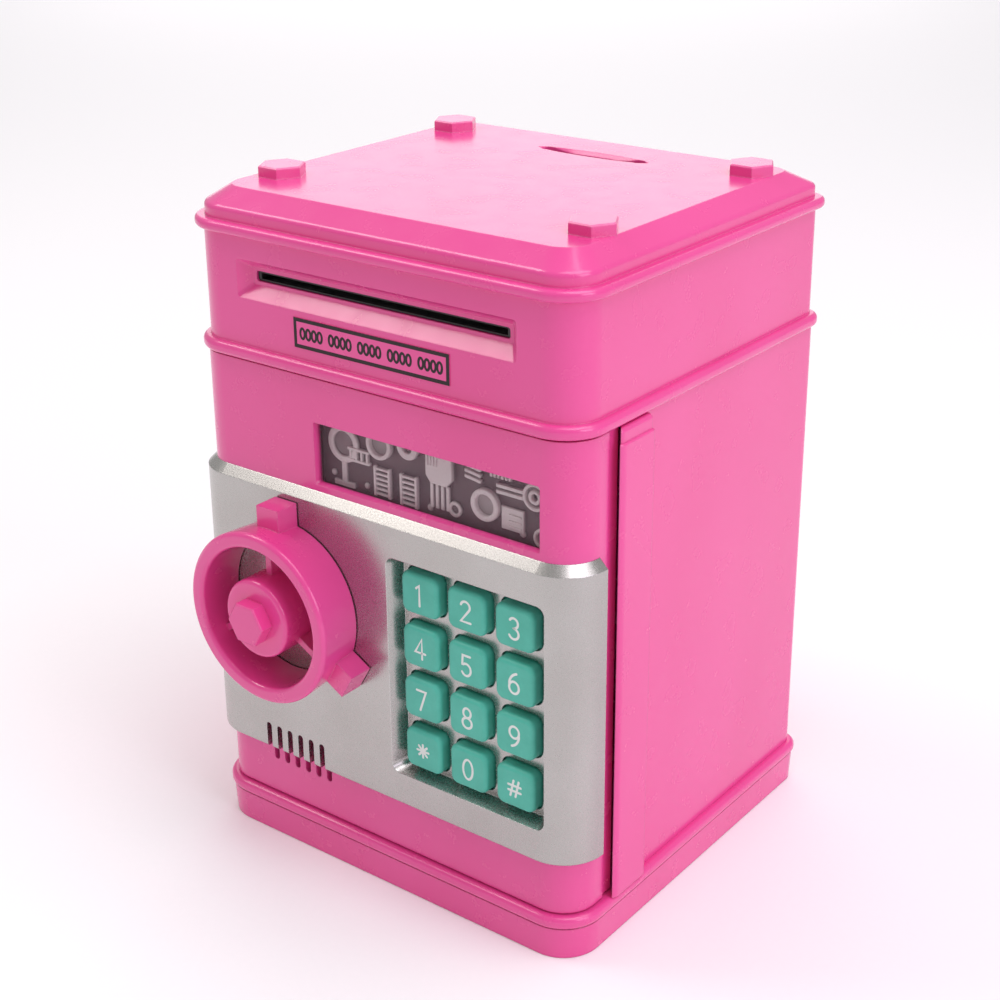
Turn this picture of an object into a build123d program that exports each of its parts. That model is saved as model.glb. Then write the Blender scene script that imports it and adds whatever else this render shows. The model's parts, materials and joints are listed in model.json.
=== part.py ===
"""Toy safe coin bank, build123d, millimetres.

A pink moulded cabinet with a hinged door, a silver keypad plate and a dial wheel.  A motor-driven
roller pair behind the front slot draws notes in; coins drop through a slot in the lid.
Frame: +Z up, front towards -Y, +X to the right of a person who faces the door.
Origin: centre of the flat underside.
"""
import os
from math import acos, cos, pi, radians, sin, tan

from build123d import *

os.makedirs("parts", exist_ok=True)

# ---------------------------------------------------------------- driving dimensions
case_width = 125.0
case_depth = 115.0
total_height = 190.0
wall = 2.5
front_corner = 10.0
rear_corner = 4.0

base_height = 9.0
bead_height = 3.6
head_bottom = 143.5
head_top = 176.6
lid_face = 187.0

door_gap = 0.5
door_back = -44.0
door_swing_clearance = 0.4

plate_thickness = 2.5
plate_bottom = 28.9
plate_top = 112.0

keypad_centre = (30.3, 69.7)
keypad_lip = (49.8, 62.8)
keypad_floor = (45.2, 60.0)
keypad_depth = 4.5
key_pitch = (15.0, 15.1)
key_size = (12.0, 11.6)
key_rise = 3.4
key_travel = 1.0

dial_centre = (-28.5, 78.5)
dial_radius = 24.3
dial_front = -74.0
dial_lug_angles = (90, 210, 330)

window_centre = (16.0, 122.5)
window_glass = (71.4, 16.6)

slot_centre = 165.2
note_slot = (82.0, 2.8)
coin_slot = (34.0, 3.6)
coin_centre = (3.2, 34.0)

gear_module = 0.8
pressure_angle = radians(20)
running_clearance = 0.05

# ---------------------------------------------------------------- values that follow from them
half_width = case_width / 2
front = -case_depth / 2
back = case_depth / 2
inner_half_width = half_width - wall
cabinet_bottom = base_height + bead_height
cabinet_height = head_bottom - cabinet_bottom
door_bottom = cabinet_bottom + door_gap
door_top = head_bottom - door_gap
plate_front = front - plate_thickness
pivot = (half_width - front_corner, front + front_corner)
swing_radius = front_corner + plate_thickness + door_swing_clearance
keypad_floor_face = plate_front + keypad_depth
key_front = keypad_floor_face - key_rise


# ---------------------------------------------------------------- helpers
def save(piece, name):
    """Label a finished piece and write it to its own file."""
    piece.part.label = name
    export_step(piece.part, f"parts/{name}.step")


def case_outline(width, depth, front_radius=front_corner, rear_radius=rear_corner):
    """Plan of the case, with larger corners at the front than at the back."""
    with BuildSketch() as outline:
        Rectangle(width, depth)
        fillet(outline.vertices().group_by(Axis.Y)[0], front_radius)
        fillet(outline.vertices().group_by(Axis.Y)[-1], rear_radius)
    return outline.sketch


def front_plane(y):
    """A sketch plane parallel to the front: its own X runs along +X, its own Y along +Z."""
    return Plane((0, y, 0), x_dir=(1, 0, 0), z_dir=(0, -1, 0))


def side_plane(x):
    """A sketch plane parallel to the sides: its own X runs along +Y, its own Y along +Z."""
    return Plane((x, 0, 0), x_dir=(0, 1, 0), z_dir=(1, 0, 0))


def gear_outline(teeth, backlash, turn=0.0, addendum=0.85):
    """Corner points of a spur gear with involute flanks; one tooth is centred on the angle `turn`."""
    pitch_radius = teeth * gear_module / 2
    base_radius = pitch_radius * cos(pressure_angle)
    tip_radius = pitch_radius + addendum * gear_module
    root_radius = pitch_radius - 1.15 * gear_module
    half_tooth = (pi * gear_module / 2 - backlash) / (2 * pitch_radius)
    pitch_involute = tan(pressure_angle) - pressure_angle

    def half_angle(radius):
        roll = acos(min(1.0, base_radius / radius))
        return half_tooth + pitch_involute - (tan(roll) - roll)

    start_radius = max(base_radius, root_radius)
    steps = [start_radius + (tip_radius - start_radius) * k / 4 for k in range(5)]
    flank = [(root_radius, 0.8 * half_angle(start_radius))] + [(r, half_angle(r)) for r in steps]
    points = []
    for tooth in range(teeth):
        middle = turn + 2 * pi * tooth / teeth
        points += [(r * cos(middle - a), r * sin(middle - a)) for r, a in flank]
        points += [(r * cos(middle + a), r * sin(middle + a)) for r, a in reversed(flank)]
    return points


# ---------------------------------------------------------------- base
bead_reach = 2.1
bead_rounding = 1.5
base_floor = 3.0
corner_posts = [(-56, -34), (56, -18), (-54, 48), (54, 48)]

with BuildPart() as base_plinth:
    with BuildSketch(Plane.XY.offset(base_height)):
        add(case_outline(case_width + 2 * bead_reach, case_depth + 2 * bead_reach,
                         front_corner + bead_reach, rear_corner + bead_reach))
    extrude(amount=bead_height)
    fillet(base_plinth.edges().filter_by(Axis.Z, reverse=True), bead_rounding)
    with BuildSketch(Plane.XY.offset(base_height)):
        add(case_outline(case_width + 3.0, case_depth + 3.0, front_corner + 1.5, rear_corner + 1.5))
    extrude(amount=-base_height, taper=3)
    with BuildSketch(Plane.XY.offset(base_floor)):
        add(case_outline(case_width - 2 * wall, case_depth - 2 * wall, 7.5, 2.0))
    extrude(amount=cabinet_bottom, mode=Mode.SUBTRACT)
    with BuildSketch(Plane.XY.offset(base_floor)):
        with Locations(*corner_posts):
            Circle(3.8)
        with Locations(pivot):
            Circle(5.0)
    extrude(amount=cabinet_bottom - base_floor)
    with BuildSketch(Plane.XY):
        with Locations(*corner_posts):
            Circle(3.3)
    extrude(amount=6.0, mode=Mode.SUBTRACT)
    with BuildSketch(Plane.XY):
        with Locations(*corner_posts):
            Circle(1.7)
    extrude(amount=cabinet_bottom, mode=Mode.SUBTRACT)
    with BuildSketch(Plane.XY.offset(5.5)):
        with Locations(pivot):
            Circle(2.0 + running_clearance)
    extrude(amount=10, mode=Mode.SUBTRACT)
save(base_plinth, "base_plinth")

with BuildPart() as base_screws:
    for x, y in corner_posts:
        with BuildSketch(Plane.XY.offset(4.0)):
            with Locations((x, y)):
                Circle(2.8)
        extrude(amount=2.0)
        with BuildSketch(Plane.XY.offset(6.0)):
            with Locations((x, y)):
                Circle(1.4)
        extrude(amount=14.0)
        with BuildSketch(Plane.XY.offset(4.0)):
            with Locations((x, y)):
                Rectangle(3.2, 0.8)
                Rectangle(0.8, 3.2)
        extrude(amount=1.2, mode=Mode.SUBTRACT)
save(base_screws, "base_screws")

# ---------------------------------------------------------------- cabinet
left_wall_front = door_back + door_gap
column_front = -43.2
column_back = -28.2
column_outer = half_width + 2.5
column_top = 139.5
cap_step = 0.7
cap_top = head_bottom - 0.3
battery_centre = (0, 46)
cover_size = (60.0, 54.0)
keeper_height = (63.5, 76.5)
latch_level = dial_centre[1] - 11 * gear_module / 2
bolt_front = -41.3
bolt_back = -37.3

with BuildPart() as cabinet_shell:
    with BuildSketch(Plane.XY.offset(cabinet_bottom)):
        add(case_outline(case_width, case_depth))
        add(case_outline(case_width - 2 * wall, case_depth - 2 * wall, 7.5, 2.0), mode=Mode.SUBTRACT)
        with Locations((-half_width, left_wall_front)):
            Rectangle(2 * case_width, case_depth, align=(Align.CENTER, Align.MAX), mode=Mode.SUBTRACT)
        with Locations((half_width, column_back)):
            Rectangle(case_width, case_depth, align=(Align.CENTER, Align.MAX), mode=Mode.SUBTRACT)
    extrude(amount=cabinet_height)
    for post_bottom, post_height in ((cabinet_bottom, 14.0), (head_bottom - 12.0, 12.0)):
        with BuildSketch(Plane.XY.offset(post_bottom)):
            for x, y in corner_posts:
                with Locations((x, y)):
                    Circle(4.2)
                    Rectangle(2 * (60.5 - abs(x)), 3.0)
                with Locations((x, y)):
                    Circle(1.4, mode=Mode.SUBTRACT)
        extrude(amount=post_height)
    with BuildSketch(front_plane(back - wall - 0.5)):
        with Locations(battery_centre):
            RectangleRounded(cover_size[0] + 0.6, cover_size[1] + 0.6, 2.3)
    extrude(amount=-5, mode=Mode.SUBTRACT)
    with BuildSketch(Plane.XY.offset(keeper_height[0])):
        with Locations((-inner_half_width - 0.5, left_wall_front)):
            Rectangle(6.5, 10.0, align=(Align.MIN, Align.MIN))
    extrude(amount=keeper_height[1] - keeper_height[0])
    with BuildSketch(Plane.XY.offset(keeper_height[0] + 1.8)):
        with Locations((-inner_half_width + 0.6, bolt_front - 0.4)):
            Rectangle(10.0, 4.8, align=(Align.MIN, Align.MIN))
    extrude(amount=keeper_height[1] - keeper_height[0] - 3.6, mode=Mode.SUBTRACT)
save(cabinet_shell, "cabinet_shell")

with BuildPart() as hinge_cover:
    with BuildSketch(Plane.XY.offset(cabinet_bottom)) as column:
        with Locations((column_outer, column_back)):
            Rectangle(7.0, column_back - column_front, align=(Align.MAX, Align.MAX))
        outer_corners = column.vertices().group_by(Axis.X)[-1].sort_by(Axis.Y)
        fillet(outer_corners[0], 3.0)
        fillet(outer_corners[1], 0.8)
        with Locations((column_outer - 2.2, column_back - 2.2)):
            Rectangle(7.0, 6.5, align=(Align.MAX, Align.MAX), mode=Mode.SUBTRACT)
        with Locations(pivot):
            Circle(swing_radius, mode=Mode.SUBTRACT)
    extrude(amount=column_top - cabinet_bottom)
    top_edges = hinge_cover.edges().filter_by_position(Axis.Z, column_top - 0.01, column_top + 0.01)
    fillet(top_edges.filter_by_position(Axis.X, column_outer - 1.0, column_outer + 0.01), 0.5)
    # narrower cap that fills the space up to the head
    with BuildSketch(Plane.XY.offset(column_top)) as cap:
        with Locations((column_outer - cap_step, column_back)):
            Rectangle(6.0, column_back - column_front - cap_step, align=(Align.MAX, Align.MAX))
        fillet(cap.vertices().group_by(Axis.X)[-1].sort_by(Axis.Y)[0], 2.6)
        with Locations(pivot):
            Circle(swing_radius, mode=Mode.SUBTRACT)
    extrude(amount=cap_top - column_top)
    top_edges = hinge_cover.edges().filter_by_position(Axis.Z, cap_top - 0.01, cap_top + 0.01)
    fillet(top_edges.filter_by_position(Axis.X, column_outer - 2.0, column_outer), 1.3)
save(hinge_cover, "hinge_cover")

# ---------------------------------------------------------------- head
head_width = case_width - 1.0
head_depth = case_depth - 1.0
head_front = -head_depth / 2
slot_frame = (90.2, 10.4)
slot_boss_back = -51.0
slot_mouth = -53.8

with BuildPart() as head_housing:
    with BuildSketch(Plane.XY.offset(head_bottom)):
        add(case_outline(head_width + 2 * bead_reach, head_depth + 2 * bead_reach,
                         front_corner + bead_reach, rear_corner + bead_reach))
    extrude(amount=bead_height)
    fillet(head_housing.edges().filter_by(Axis.Z, reverse=True), bead_rounding)
    with BuildSketch(Plane.XY.offset(head_bottom)):
        add(case_outline(head_width, head_depth))
    extrude(amount=head_top - head_bottom)
    with BuildSketch(Plane.XY.offset(head_bottom)):
        add(case_outline(head_width - 2 * wall, head_depth - 2 * wall, 7.5, 2.0))
    extrude(amount=head_top - head_bottom, mode=Mode.SUBTRACT)
    with BuildSketch(front_plane(slot_boss_back)):
        with Locations((0, slot_centre)):
            RectangleRounded(98.0, 14.0, 2.0)
    extrude(amount=slot_boss_back - head_front - 1.0)
    with BuildSketch(front_plane(head_front - 0.01)):
        with Locations((0, slot_centre)):
            RectangleRounded(*slot_frame, 1.0)
    with BuildSketch(front_plane(slot_mouth)):
        with Locations((0, slot_centre + 0.4)):
            RectangleRounded(note_slot[0] + 2, note_slot[1] + 2, 0.6)
    loft(mode=Mode.SUBTRACT)
    with BuildSketch(front_plane(0)):
        with Locations((0, slot_centre + 0.4)):
            RectangleRounded(*note_slot, 0.8)
    extrude(amount=80, mode=Mode.SUBTRACT)
save(head_housing, "head_housing")

# ---------------------------------------------------------------- lid
lid_bead_top = head_top + 3.0
lid_step_top = 182.8
hex_head_radius = 6.5
hex_heads = [(x, y) for x in (-49.9, 49.9) for y in (-33.4, 39.8)]
lid_inset = (6.0, 7.0)

with BuildPart() as top_cover:
    with BuildSketch(Plane.XY.offset(head_top)):
        add(case_outline(head_width + 2 * 2.3, head_depth + 2 * 2.3, front_corner + 2.3, rear_corner + 2.3))
    extrude(amount=lid_bead_top - head_top)
    fillet(top_cover.edges().filter_by(Axis.Z, reverse=True), 1.3)
    with BuildSketch(Plane.XY.offset(lid_bead_top - 0.5)):
        add(case_outline(head_width - 0.6, head_depth - 0.6, front_corner, rear_corner))
    extrude(amount=lid_step_top - lid_bead_top + 0.5)
    with BuildSketch(Plane.XY.offset(lid_step_top)):
        add(case_outline(head_width - 0.6, head_depth - 0.6, front_corner, rear_corner))
    with BuildSketch(Plane.XY.offset(lid_face)):
        add(case_outline(head_width - 2 * lid_inset[0], head_depth - 2 * lid_inset[1], 7.0, 5.0))
    loft()
    step_edges = top_cover.edges().filter_by_position(Axis.Z, lid_step_top - 0.01, lid_step_top + 0.01)
    fillet(step_edges, 1.5)
    with BuildSketch(Plane.XY.offset(lid_face - 1.5)):
        with Locations(*hex_heads):
            RegularPolygon(hex_head_radius, 6)
    extrude(amount=total_height - lid_face + 1.5)
    chamfer(top_cover.edges().filter_by_position(Axis.Z, total_height - 0.01, total_height + 0.01), 0.35)
    with BuildSketch(Plane.XY.offset(head_top)):
        add(case_outline(head_width - 4 * wall, head_depth - 4 * wall, 6.0, 2.0))
    extrude(amount=5.0, mode=Mode.SUBTRACT)
    with BuildSketch(Plane.XY.offset(head_top + 5.0)):
        add(case_outline(head_width - 4 * wall, head_depth - 4 * wall, 6.0, 2.0))
    with BuildSketch(Plane.XY.offset(lid_face - wall)):
        add(case_outline(head_width - 2 * lid_inset[0] - 4, head_depth - 2 * lid_inset[1] - 4, 5.0, 3.0))
    loft(mode=Mode.SUBTRACT)
    with BuildSketch(Plane.XY.offset(head_top - 2.5)):
        add(case_outline(head_width - 2 * wall - 0.4, head_depth - 2 * wall - 0.4, 7.3, 1.8))
        add(case_outline(head_width - 4 * wall, head_depth - 4 * wall, 6.0, 2.0), mode=Mode.SUBTRACT)
    extrude(amount=3.0)
    with BuildSketch(Plane.XY.offset(lid_face)):
        with Locations(coin_centre):
            Ellipse(coin_slot[0] / 2 + 1.2, 2.9)
    with BuildSketch(Plane.XY.offset(lid_face - 1.0)):
        with Locations(coin_centre):
            Ellipse(coin_slot[0] / 2 + 0.4, coin_slot[1] / 2 + 0.2)
    loft(mode=Mode.SUBTRACT)
    with BuildSketch(Plane.XY.offset(lid_face - 5)):
        with Locations(coin_centre):
            SlotOverall(coin_slot[0], coin_slot[1])
    extrude(amount=10, mode=Mode.SUBTRACT)
save(top_cover, "top_cover")

# ---------------------------------------------------------------- deck between head and cash space
deck_top = head_bottom + 2.5
note_drop = (78.0, 22.0)
note_drop_y = 12.0
chute_gap = 5.0

with BuildPart() as deck_plate:
    with BuildSketch(Plane.XY.offset(head_bottom)):
        add(case_outline(head_width - 2 * wall - 0.5, head_depth - 2 * wall - 0.5, 7.2, 1.8))
        with Locations((0, note_drop_y)):
            Rectangle(*note_drop, mode=Mode.SUBTRACT)
        with Locations(coin_centre):
            Rectangle(coin_slot[0] + 3, chute_gap, mode=Mode.SUBTRACT)
        with Locations(*corner_posts):
            Circle(1.7, mode=Mode.SUBTRACT)
    extrude(amount=deck_top - head_bottom)
    with BuildSketch(Plane.XY.offset(deck_top)):
        with Locations(pivot):
            Circle(4.6)
    extrude(amount=5.0)
    with BuildSketch(Plane.XY.offset(head_bottom)):
        with Locations(pivot):
            Circle(2.0 + running_clearance)
    extrude(amount=6.8, mode=Mode.SUBTRACT)
save(deck_plate, "deck_plate")

with BuildPart() as deck_screws:
    for x, y in corner_posts:
        with BuildSketch(Plane.XY.offset(deck_top)):
            with Locations((x, y)):
                Circle(2.8)
        extrude(amount=1.8)
        with BuildSketch(Plane.XY.offset(deck_top)):
            with Locations((x, y)):
                Circle(1.4)
        extrude(amount=-11.0)
        with BuildSketch(Plane.XY.offset(deck_top + 1.8)):
            with Locations((x, y)):
                Rectangle(3.2, 0.8)
                Rectangle(0.8, 3.2)
        extrude(amount=-1.0, mode=Mode.SUBTRACT)
save(deck_screws, "deck_screws")

with BuildPart() as coin_chute:
    with BuildSketch(Plane.XY.offset(deck_top)):
        with Locations(coin_centre):
            Rectangle(coin_slot[0] + 12, chute_gap + 10)
            Rectangle(coin_slot[0] + 3, chute_gap, mode=Mode.SUBTRACT)
    extrude(amount=1.6)
    with BuildSketch(Plane.XY.offset(deck_top)):
        with Locations(coin_centre):
            Rectangle(coin_slot[0] + 6, chute_gap + 3)
            Rectangle(coin_slot[0] + 3, chute_gap, mode=Mode.SUBTRACT)
    extrude(amount=lid_face - wall - deck_top)
save(coin_chute, "coin_chute")

# ---------------------------------------------------------------- note slot lining and label
with BuildPart() as bill_slot_liner:
    with BuildSketch(front_plane(slot_boss_back)):
        with Locations((0, slot_centre + 0.4)):
            RectangleRounded(92.0, 9.0, 1.0)
    extrude(amount=-2.0)
    with BuildSketch(front_plane(slot_boss_back)):
        with Locations((0, slot_centre + 0.4)):
            RectangleRounded(note_slot[0] - 0.2, note_slot[1] - 0.2, 0.7)
    extrude(amount=slot_boss_back - slot_mouth - 0.6)
    with BuildSketch(front_plane(slot_boss_back - 2.3)):
        with Locations((0, slot_centre + 0.4)):
            Rectangle(note_slot[0] - 2.4, note_slot[1] - 1.2)
    extrude(amount=-6.0, mode=Mode.SUBTRACT)
save(bill_slot_liner, "bill_slot_liner")

with BuildPart() as counter_label:
    with BuildSketch(front_plane(head_front)):
        with Locations((0, 154.3)):
            Rectangle(50.6, 8.0)
    extrude(amount=0.25)
save(counter_label, "counter_label")

# ---------------------------------------------------------------- note feed
note_level = slot_centre + 0.4
feed_y = -35.0
drive_roller_radius = 6.3
idler_roller_radius = 4.5
shaft_radius = 1.5
drive_z = note_level - 0.3 - drive_roller_radius
idler_z = note_level + 0.4 + idler_roller_radius
cheek_inner = 42.0
cheek_outer = 44.0
gear_x = cheek_outer + 0.8
gear_width = 4.0
roller_positions = (-20.0, 20.0)
drive_teeth = 26
pinion_teeth = 10
motor_z = deck_top + 6.4
gear_centres = (drive_teeth + pinion_teeth) * gear_module / 2 + 0.08
motor_y = feed_y + (gear_centres ** 2 - (drive_z - motor_z) ** 2) ** 0.5
guide_front = -48.6
guide_back = -6.0

with BuildPart() as feed_frame:
    for cheek_start in (cheek_inner, -cheek_outer):
        with BuildSketch(side_plane(cheek_start)):
            with Locations(((guide_front + guide_back) / 2, (deck_top + 176.0) / 2)):
                RectangleRounded(guide_back - guide_front, 176.0 - deck_top, 2.0)
            with Locations((feed_y, drive_z), (feed_y, idler_z)):
                Circle(shaft_radius + running_clearance, mode=Mode.SUBTRACT)
            with Locations((motor_y, motor_z)):
                Circle(2.4, mode=Mode.SUBTRACT)
        extrude(amount=cheek_outer - cheek_inner)
    with BuildSketch(Plane.XY.offset(note_level - 1.9)):
        with Locations((0, (guide_front + guide_back) / 2)):
            Rectangle(2 * cheek_inner + 1, guide_back - guide_front)
        with Locations(*[(x, feed_y) for x in roller_positions]):
            Rectangle(9.0, 11.0, mode=Mode.SUBTRACT)
    extrude(amount=1.2)
    with BuildSketch(Plane.XY.offset(deck_top)):
        for side in (-1, 1):
            with Locations((side * (cheek_outer + 0.8), -11), (side * (cheek_outer + 0.8), -45)):
                Rectangle(4, 5)
    extrude(amount=1.2)
save(feed_frame, "feed_frame")

with BuildPart() as bill_top_guide:
    with BuildSketch(Plane.XY.offset(note_level + 0.7)):
        with Locations((0, (guide_front + guide_back) / 2)):
            Rectangle(2 * cheek_inner - 0.2, guide_back - guide_front)
        with Locations(*[(x, feed_y) for x in roller_positions]):
            Rectangle(9.0, 10.0, mode=Mode.SUBTRACT)
        with Locations((0, -20)):
            Rectangle(5.0, 5.0, mode=Mode.SUBTRACT)
    extrude(amount=1.0)
    with BuildSketch(Plane.XY.offset(note_level + 1.7)):
        with Locations((-36, -14), (36, -14)):
            Rectangle(1.5, 14.0)
    extrude(amount=3.0)
save(bill_top_guide, "bill_top_guide")

with BuildPart() as bill_sensor:
    with BuildSketch(Plane.XY.offset(note_level + 2.6)):
        with Locations((0, -20)):
            Rectangle(14.0, 10.0)
    extrude(amount=1.2)
    with BuildSketch(Plane.XY.offset(note_level + 2.6)):
        with Locations((0, -20)):
            Rectangle(4.0, 4.0)
    extrude(amount=-1.7)
    with BuildSketch(Plane.XY.offset(note_level + 1.7)):
        with Locations((-5.5, -20), (5.5, -20)):
            Circle(1.2)
    extrude(amount=1.2)
save(bill_sensor, "bill_sensor")

with BuildPart() as drive_shaft:
    with BuildSketch(side_plane(-46.5)):
        with Locations((feed_y, drive_z)):
            Circle(shaft_radius)
    extrude(amount=46.5 + gear_x + gear_width + 1.0)
save(drive_shaft, "drive_shaft")

with BuildPart() as drive_rollers:
    for x in roller_positions:
        with BuildSketch(side_plane(x - 3.5)):
            with Locations((feed_y, drive_z)):
                Circle(drive_roller_radius)
                Circle(shaft_radius, mode=Mode.SUBTRACT)
        extrude(amount=7.0)
save(drive_rollers, "drive_rollers")

mesh_angle = pi - acos((motor_y - feed_y) / gear_centres)

with BuildPart() as drive_gear:
    with BuildSketch(side_plane(gear_x)):
        with Locations((feed_y, drive_z)):
            Polygon(*gear_outline(drive_teeth, 0.16, mesh_angle - pi), align=None)
            Circle(shaft_radius, mode=Mode.SUBTRACT)
    extrude(amount=gear_width)
save(drive_gear, "drive_gear")

with BuildPart() as motor_pinion:
    with BuildSketch(side_plane(gear_x)):
        with Locations((motor_y, motor_z)):
            Polygon(*gear_outline(pinion_teeth, 0.16, mesh_angle + pi / pinion_teeth), align=None)
    extrude(amount=gear_width)
    with BuildSketch(side_plane(39.3)):
        with Locations((motor_y, motor_z)):
            Circle(shaft_radius)
    extrude(amount=gear_x - 39.3)
save(motor_pinion, "motor_pinion")

with BuildPart() as idler_shaft:
    with BuildSketch(side_plane(-cheek_outer - 0.4)):
        with Locations((feed_y, idler_z)):
            Circle(shaft_radius)
    extrude(amount=2 * cheek_outer + 0.8)
save(idler_shaft, "idler_shaft")

with BuildPart() as idler_rollers:
    for x in roller_positions:
        with BuildSketch(side_plane(x - 3.5)):
            with Locations((feed_y, idler_z)):
                Circle(idler_roller_radius)
                Circle(shaft_radius, mode=Mode.SUBTRACT)
        extrude(amount=7.0)
save(idler_rollers, "idler_rollers")

with BuildPart() as feed_motor:
    with BuildSketch(side_plane(14.0)):
        with Locations((motor_y, motor_z)):
            Circle(6.0)
            Rectangle(12.0, 10.0, mode=Mode.INTERSECT)
    extrude(amount=15.0)
    with BuildSketch(side_plane(29.0)):
        with Locations((motor_y, motor_z)):
            Rectangle(12.0, 10.0)
    extrude(amount=9.0)
    with BuildSketch(side_plane(14.0)):
        with Locations((motor_y, motor_z)):
            Circle(2.0)
    extrude(amount=-1.5)
    with BuildSketch(side_plane(38.0)):
        with Locations((motor_y, motor_z)):
            Circle(shaft_radius + 0.06)
    extrude(amount=-3.0, mode=Mode.SUBTRACT)
save(feed_motor, "feed_motor")

with BuildPart() as motor_bracket:
    with BuildSketch(side_plane(26.0)):
        with Locations((motor_y, deck_top)):
            Rectangle(25.0, 1.2, align=(Align.CENTER, Align.MIN))
            Rectangle(14.6, 12.7, align=(Align.CENTER, Align.MIN))
        with Locations((motor_y, deck_top)):
            Rectangle(12.2, 11.5, align=(Align.CENTER, Align.MIN), mode=Mode.SUBTRACT)
    extrude(amount=8.0)
save(motor_bracket, "motor_bracket")

# ---------------------------------------------------------------- batteries
bay_depth = 15.8
cell_radius = 7.1
cell_pitch = 15.2
cell_length = 49.0
cell_y = back - wall - 7.7
cell_levels = [battery_centre[1] + cell_pitch * k for k in (-1, 0, 1)]
cell_ends = [1, -1, 1]

with BuildPart() as battery_box:
    with BuildSketch(front_plane(back - wall)):
        with Locations(battery_centre):
            RectangleRounded(cover_size[0] + 6, cover_size[1] + 6, 3.0)
    extrude(amount=2.0)
    with BuildSketch(front_plane(back - wall)):
        with Locations(battery_centre):
            RectangleRounded(58.0, 50.0, 2.0)
    extrude(amount=bay_depth + 2.0)
    with BuildSketch(front_plane(back - wall)):
        with Locations(battery_centre):
            Rectangle(54.6, 46.4)
    extrude(amount=bay_depth, mode=Mode.SUBTRACT)
    with BuildSketch(front_plane(back - wall)):
        with Locations((0, battery_centre[1] + cover_size[1] / 2 - 2.6)):
            Circle(1.1)
    extrude(amount=2.0, mode=Mode.SUBTRACT)
save(battery_box, "battery_box")

with BuildPart() as battery_cells:
    for level, end in zip(cell_levels, cell_ends):
        with BuildSketch(side_plane(-cell_length / 2)):
            with Locations((cell_y, level)):
                Circle(cell_radius)
        extrude(amount=cell_length)
        with BuildSketch(side_plane(end * cell_length / 2)):
            with Locations((cell_y, level)):
                Circle(2.7)
        extrude(amount=end * 1.3)
save(battery_cells, "battery_cells")

with BuildPart() as battery_contacts:
    for level, end in zip(cell_levels, cell_ends):
        for x in (-27.1, 26.7):
            with BuildSketch(side_plane(x)):
                with Locations((cell_y, level)):
                    Rectangle(9.0, 10.0)
            extrude(amount=0.4)
        with BuildSketch(side_plane(-end * 26.7)):
            with Locations((cell_y, level)):
                Circle(4.2)
                Circle(3.4, mode=Mode.SUBTRACT)
        extrude(amount=end * 0.9)
        with BuildSketch(side_plane(-end * 25.8)):
            with Locations((cell_y, level)):
                Circle(3.6)
                Circle(2.8, mode=Mode.SUBTRACT)
        extrude(amount=end * 0.9)
save(battery_contacts, "battery_contacts")

with BuildPart() as battery_cover:
    with BuildSketch(front_plane(back)):
        with Locations(battery_centre):
            RectangleRounded(*cover_size, 2.0)
    extrude(amount=wall - 0.2)
    with BuildSketch(front_plane(back)):
        with Locations((0, battery_centre[1] + cover_size[1] / 2 - 2.6)):
            Circle(2.3)
    extrude(amount=1.4, mode=Mode.SUBTRACT)
    with BuildSketch(front_plane(back)):
        with Locations((0, battery_centre[1] + cover_size[1] / 2 - 2.6)):
            Circle(1.3)
    extrude(amount=wall, mode=Mode.SUBTRACT)
    with BuildSketch(front_plane(back)):
        for k in range(5):
            with Locations((0, battery_centre[1] - 16.0 + 2.6 * k)):
                SlotOverall(18.0, 1.2)
    extrude(amount=0.8, mode=Mode.SUBTRACT)
save(battery_cover, "battery_cover")

with BuildPart() as battery_screw:
    with BuildSketch(front_plane(back - 0.2)):
        with Locations((0, battery_centre[1] + cover_size[1] / 2 - 2.6)):
            Circle(2.1)
    extrude(amount=1.2)
    with BuildSketch(front_plane(back - 0.2)):
        with Locations((0, battery_centre[1] + cover_size[1] / 2 - 2.6)):
            Rectangle(2.6, 0.6)
            Rectangle(0.6, 2.6)
    extrude(amount=0.7, mode=Mode.SUBTRACT)
    with BuildSketch(front_plane(back - 1.4)):
        with Locations((0, battery_centre[1] + cover_size[1] / 2 - 2.6)):
            Circle(1.0)
    extrude(amount=3.0)
save(battery_screw, "battery_screw")

# ---------------------------------------------------------------- door
vent_first = -40.3
vent_pitch = 4.0
vent_count = 6
vent_width = 1.9
vent_bottom = 23.8
vent_top = 36.8
spindle_radius = 3.0
window_back = front + 1.8
window_frame_back = front + 4.0
door_height = door_top - door_bottom
return_inset = 0.8
return_back = -39.2
lens_lip = 3.0
hinge_blocks = [(door_bottom + 2, 13.0), (door_top - 6.8, 5.0)]
vents = [vent_first + vent_pitch * k for k in range(vent_count)]

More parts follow.
